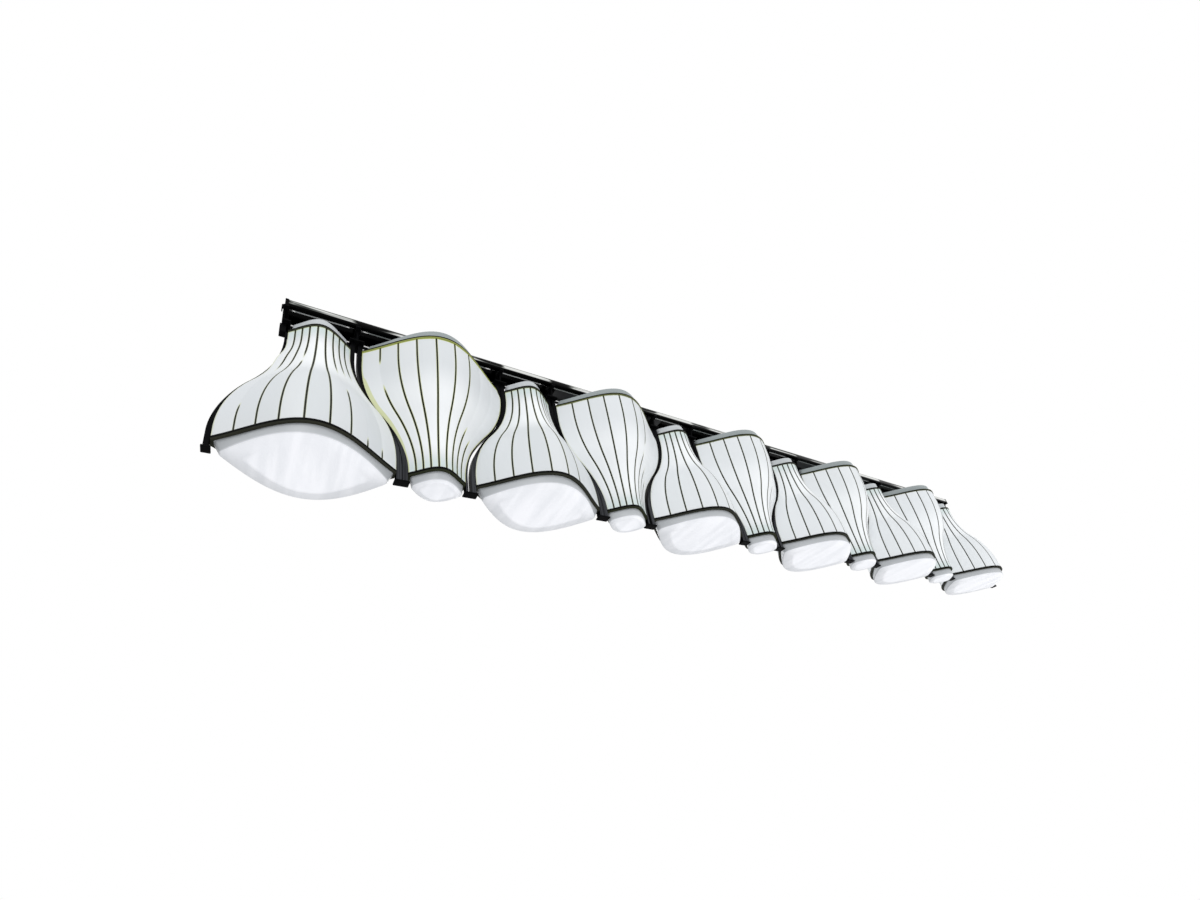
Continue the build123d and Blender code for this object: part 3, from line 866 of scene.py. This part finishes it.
def rail_material():
    """Channel with painted reflections: long pale streaks on its outer sides, and painted dark reflection
    elsewhere.

    The streaks follow the photograph, not the lights: brightest over a bell's head, black beside it and grey
    over an inverted shade.
    """
    material, tree, shader = new_material("polished_rail", Metallic=1.0)
    grained(tree, shader, 600, 0.16, 0.10, 0.04, (0.05, 1, 1))
    z = along(tree, "Z")
    shade_pitch = (WIDE_CELL + NARROW_CELL) / 2
    from_start = calculate(tree, "SUBTRACT", along(tree, "X"), centre_x(0))
    from_bell = calculate(tree, "PINGPONG", from_start, shade_pitch)
    over_bell = between(tree, from_bell, 0.040, 0.058, 0.11, -0.10, True)
    over_inverted = between(tree, from_bell, 0.075, 0.115, 0, 0.15, True)
    light = calculate(tree, "ADD", over_bell, over_inverted)
    streaked = calculate(tree, "ADD", stretched_noise(tree, (5, 40, 110), 2.0, 0.8), light)
    mirror = put(tree, "ShaderNodeValToRGB", {"Fac": streaked})
    ramp = mirror.color_ramp
    ramp.elements[0].position = 0.44
    ramp.elements[0].color = PAINTED_DARK_REFLECTION
    ramp.elements[1].position = 0.56
    ramp.elements[1].color = (0.74, 0.75, 0.73, 1)
    middle = ramp.elements.new(0.50)
    middle.color = (0.16, 0.17, 0.16, 1)
    side = mix(tree, between(tree, z, *RAIL_FOOT_TURN), PAINTED_DARK_REFLECTION, mirror.outputs["Color"])
    side = mix(tree, between(tree, z, *RAIL_TOP_TURN), side, (0.07, 0.072, 0.062, 1))
    colour = mix(tree, attribute(tree, "polish"), PAINTED_DARK_REFLECTION, side)
    # Painted highlight along the lips
    colour = mix(tree, attribute(tree, "rim_line"), colour, (0.80, 0.80, 0.78, 1))
    tree.links.new(colour, shader.inputs["Base Color"])
    return material


def metal_material(name, dark, light, roughness, stretch=(1, 1, 1)):
    """Bare or plated metal with its grain and slightly uneven colour."""
    material, tree, shader = new_material(name, Metallic=1.0)
    patch = grained(tree, shader, 500, roughness, 0.15, 0.15, stretch)
    tree.links.new(mix(tree, patch, dark, light), shader.inputs["Base Color"])
    return material


def plastic_material(name, dark, light, roughness=0.45):
    """Moulded or painted surface with a fine texture and slightly uneven colour."""
    material, tree, shader = new_material(name, Specular_IOR_Level=0.4)
    patch = grained(tree, shader, 1300, roughness, 0.1, 0.15)
    tree.links.new(mix(tree, patch, dark, light), shader.inputs["Base Color"])
    return material


def board_material():
    """White board with a row of small yellow chips up its middle."""
    material, tree, shader = new_material("led_board", Specular_IOR_Level=0.4)
    grained(tree, shader, 900, 0.4, 0.08, 0.05)
    from_chip = calculate(tree, "PINGPONG", along(tree, "Z"), CHIP_PITCH / 2)
    chip = calculate(tree, "LESS_THAN", from_chip, CHIP_LENGTH / 2)
    colour = mix(tree, chip, (0.86, 0.86, 0.84, 1), (0.80, 0.62, 0.14, 1))
    tree.links.new(colour, shader.inputs["Base Color"])
    return material


SKIN = skin_material()
# The last two colours of each are painted lamp light on the lower and on the upper frames' lowest strip
BELL_FRAMES = frame_material("bell_frame_coating", (0.040, 0.041, 0.030, 1), (0.05, 0.055, 0.03, 1))
INVERTED_FRAMES = frame_material("inverted_frame_coating", (0.035, 0.040, 0.022, 1), (0.30, 0.33, 0.10, 1))
COATING = coating_material()
OPAL = opal_material()
RAIL = rail_material()
STEEL = metal_material("bolt_steel", (0.05, 0.05, 0.052, 1), (0.16, 0.16, 0.17, 1), 0.32)
ZINC = metal_material("insert_zinc", (0.50, 0.51, 0.52, 1), (0.66, 0.66, 0.66, 1), 0.30)
ALUMINIUM = metal_material(
    "column_aluminium", (0.66, 0.67, 0.69, 1), (0.78, 0.79, 0.80, 1), 0.35, stretch=(1, 1, 0.03)
)
# Painted shade: the driver cases are near black, as the channel's inside is dark
DRIVER_IN_PAINTED_SHADE = plastic_material("driver_case", (0.015, 0.015, 0.016, 1), (0.03, 0.03, 0.031, 1))
TERMINAL = plastic_material("terminal_white", (0.80, 0.80, 0.78, 1), (0.88, 0.88, 0.86, 1))
GLAND = plastic_material("gland_black", (0.012, 0.012, 0.012, 1), (0.03, 0.03, 0.03, 1), 0.5)
BOARD = board_material()


# The pieces

for i in range(SHADE_COUNT):
    for face, turn in (("front", 1), ("rear", -1)):
        node_name = f"{face}_skin_{i + 1:02d}"
        part, values = skin(i, turn)
        make(f"{face}_pleats_{i + 1:02d}", [part], [node_name], "skin_sheet", SKIN, **values)

for kind, members, coat in (("bell", BELLS, BELL_FRAMES), ("inverted", INVERTED, INVERTED_FRAMES)):
    for end, top in (("lower", LOWER_TOP), ("upper", UPPER_TOP)):
        plates = [frame_plate(i, top) for i in members]
        light_share = np.concatenate([np.full(len(plate[0]), tint(i)) for plate, i in zip(plates, members)])
        make(f"{kind}_{end}_trims", plates, [f"{kind}_{end}_frames"], "black_coating", coat, tint=light_share)
    for end, dish in (("lower", lens), ("upper", cover)):
        dishes = [dish(i) for i in members]
        white = np.concatenate([values.ravel() for _, values in dishes])
        shells = [part for part, _ in dishes]
        make(f"{kind}_{end}_dishes", shells, [f"{kind}_{end}_diffusers"], "opal_diffuser", OPAL, white=white)
    bars = [side_bar(i, side) for i in members for side in (-1, 1)]
    if kind == "bell":
        heads = [end_head(j) for j in (0, SHADE_COUNT)]
        bars += [(head, np.zeros(len(head[0]))) for head in heads]
    sheen = np.concatenate([values.ravel() for _, values in bars])
    blanks = [part for part, _ in bars]
    make(f"{kind}_bars", blanks, [f"{kind}_side_bars"], "black_coating", COATING, sheen=sheen)

rail_part, polish, rim_line = rail()
make("rail", [rail_part], ["top_rail"], "rail_polished", RAIL, polish=polish, rim_line=rim_line)
make("hangers", [part for j in JOINTS for part in hanger(j)], ["rail_hangers"], "black_coating", COATING)
make("feet", [foot(j) for j in JOINTS], ["joint_feet"], "black_coating", COATING)

bolt_low, bolt_high = (corner[2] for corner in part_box("pad_bolts"))
bar_middle = BAR_NEAR + BAR_WIDTH / 2
bolts = [
    hexagon_head(float(joint_x(j, UPPER_TOP)) + side * bar_middle, bolt_low, bolt_high)
    for j in JOINTS
    for side in (-1, 1)
    if 0 <= j + (side - 1) / 2 < SHADE_COUNT
]
make("bolts", bolts, ["pad_bolts"], "bolt_steel", STEEL)

for name, material in (
    ("end_plate_left", COATING),
    ("end_plate_right", COATING),
    ("lamp_carriers", ALUMINIUM),
    ("led_boards", BOARD),
    ("driver_left", DRIVER_IN_PAINTED_SHADE),
    ("driver_right", DRIVER_IN_PAINTED_SHADE),
    ("terminal_block", TERMINAL),
    ("suspension_inserts", ZINC),
    ("cable_gland", GLAND),
    *[(f"lamp_column_{i + 1:02d}", ALUMINIUM) for i in range(SHADE_COUNT)],
):
    for material_slot in nodes[name].material_slots:
        material_slot.material = material


# Studio

def add_floor():
    """Pale square floor well below the lamp."""
    size, level = 6.0, -2.0
    mesh = bpy.data.meshes.new("floor")
    corners = [(-size, -size, level), (size, -size, level), (size, size, level), (-size, size, level)]
    mesh.from_pydata(corners, [], [(0, 1, 2, 3)])
    mesh.materials.append(new_material("floor_pale", Base_Color=(0.86, 0.86, 0.86, 1), Roughness=0.9)[0])
    floor = bpy.data.objects.new("floor", mesh)
    scene.collection.objects.link(floor)


def add_light(name, place, size, power):
    """Soft square lamp aimed at the middle of the object."""
    data = bpy.data.lights.new(name, "AREA")
    data.size = size
    data.energy = power
    light = bpy.data.objects.new(name, data)
    direction = Vector((0, 0, -0.15)) - Vector(place)
    light.matrix_world = Matrix.Translation(place) @ direction.to_track_quat("-Z", "Y").to_matrix().to_4x4()
    scene.collection.objects.link(light)


def add_world():
    """Pale even light, with plain white behind the object and in its reflections."""
    world = bpy.data.worlds.new("studio")
    scene.world = world
    world.use_nodes = True
    tree = world.node_tree
    tree.nodes.clear()
    rays = put(tree, "ShaderNodeLightPath").outputs
    seen = calculate(tree, "MAXIMUM", rays["Is Camera Ray"], rays["Is Glossy Ray"])
    seen = calculate(tree, "MAXIMUM", seen, rays["Is Transmission Ray"])
    light = put(tree, "ShaderNodeBackground", {"Color": (0.97, 0.98, 1, 1), "Strength": 0.62})
    white = put(tree, "ShaderNodeBackground", {"Color": (1, 1, 1, 1), "Strength": 1.0})
    both = put(tree, "ShaderNodeMixShader", {0: seen, 1: light.outputs[0], 2: white.outputs[0]})
    put(tree, "ShaderNodeOutputWorld", {"Surface": both.outputs[0]})


add_floor()
add_world()
add_light("key", (-2.2, -2.6, 1.6), 1.8, 48)
add_light("fill", (2.0, -2.4, -0.9), 2.0, 26)
add_light("rear", (0.5, 2.6, 1.2), 2.0, 30)
scene.view_settings.view_transform = "Standard"
